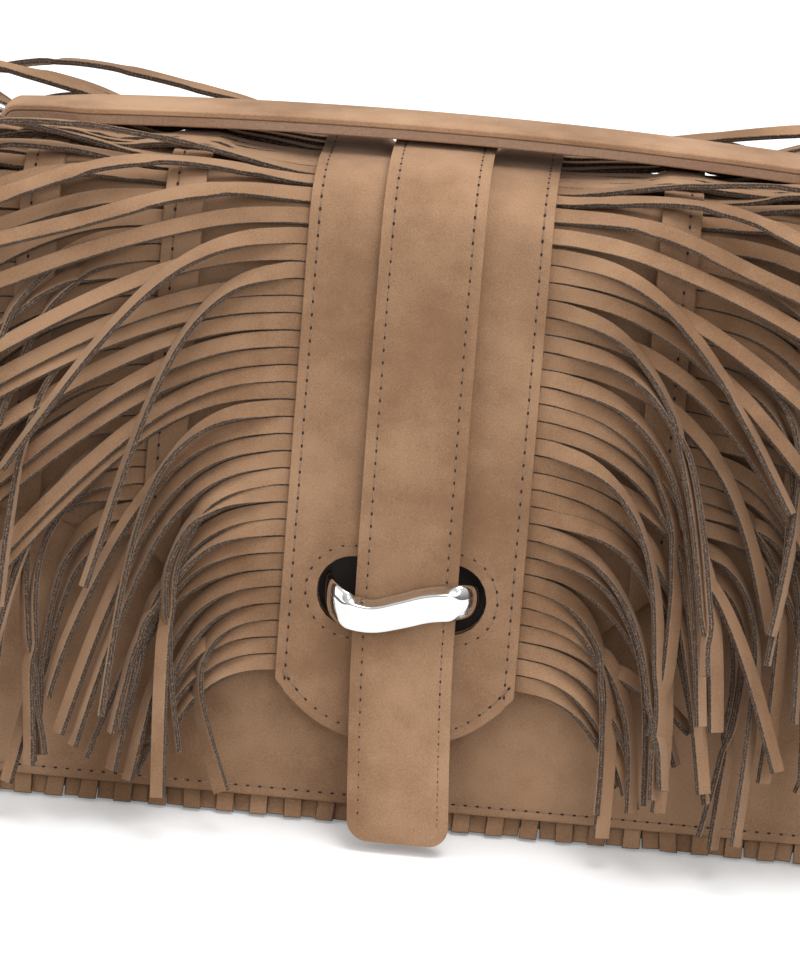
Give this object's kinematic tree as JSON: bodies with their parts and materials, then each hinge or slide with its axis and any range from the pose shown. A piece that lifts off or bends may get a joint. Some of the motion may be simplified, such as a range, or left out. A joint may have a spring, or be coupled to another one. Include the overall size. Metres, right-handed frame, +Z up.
{
  "type": "fringed suede handbag",
  "caption": "Suede flap handbag with rows of cut fringe, a strap drawn through a metal loop and a top handle on rings.",
  "frame": {"origin": "middle of the base, on the surface the bag stands on", "axes": "+X to the right seen from the front, +Y to the back, +Z up"},
  "size_m": [0.352, 0.1208, 0.1873],
  "materials": {
    "suede": "napped",
    "smooth_leather": "satin",
    "lining": "matt",
    "board": "matt",
    "polished_metal": "polished"
  },
  "bodies": {
    "bag": {"front_panel": "suede", "back_panel": "suede", "gusset_left": "suede", "gusset_right": "suede", "base_panel": "suede", "flap": "suede", "centre_panel": "suede", "closing_strap": "suede", "fringe_left_1": "suede", "fringe_left_2": "suede", "fringe_left_3": "suede", "fringe_right_1": "suede", "fringe_right_2": "suede", "fringe_right_3": "suede", "band_left_2": "suede", "band_left_3": "suede", "band_right_2": "suede", "band_right_3": "suede", "edge_fringe_front": "suede", "edge_fringe_back": "suede", "ring_tab_left": "smooth_leather", "ring_tab_right": "smooth_leather", "lining": "lining", "base_board": "board", "lock_loop": "polished_metal", "lock_plate": "polished_metal"},
    "handle": {"handle_strap": "suede"},
    "ring_left": {"ring_left": "polished_metal"},
    "ring_right": {"ring_right": "polished_metal"}
  },
  "joints": [
    {"name": "handle_swing", "type": "hinge", "parent": "bag", "child": "handle", "pos_m": [0, 0, 0.18164], "axis": [1, 0, 0], "range_deg": [-8, 8]},
    {"name": "ring_left_turn", "type": "hinge", "parent": "handle", "child": "ring_left", "pos_m": [-0.1214, 0, 0.17822], "axis": [0.342, 0, 0.9397], "continuous": true},
    {"name": "ring_right_turn", "type": "hinge", "parent": "handle", "child": "ring_right", "pos_m": [0.1214, 0, 0.17822], "axis": [-0.342, 0, 0.9397], "continuous": true}
  ]
}
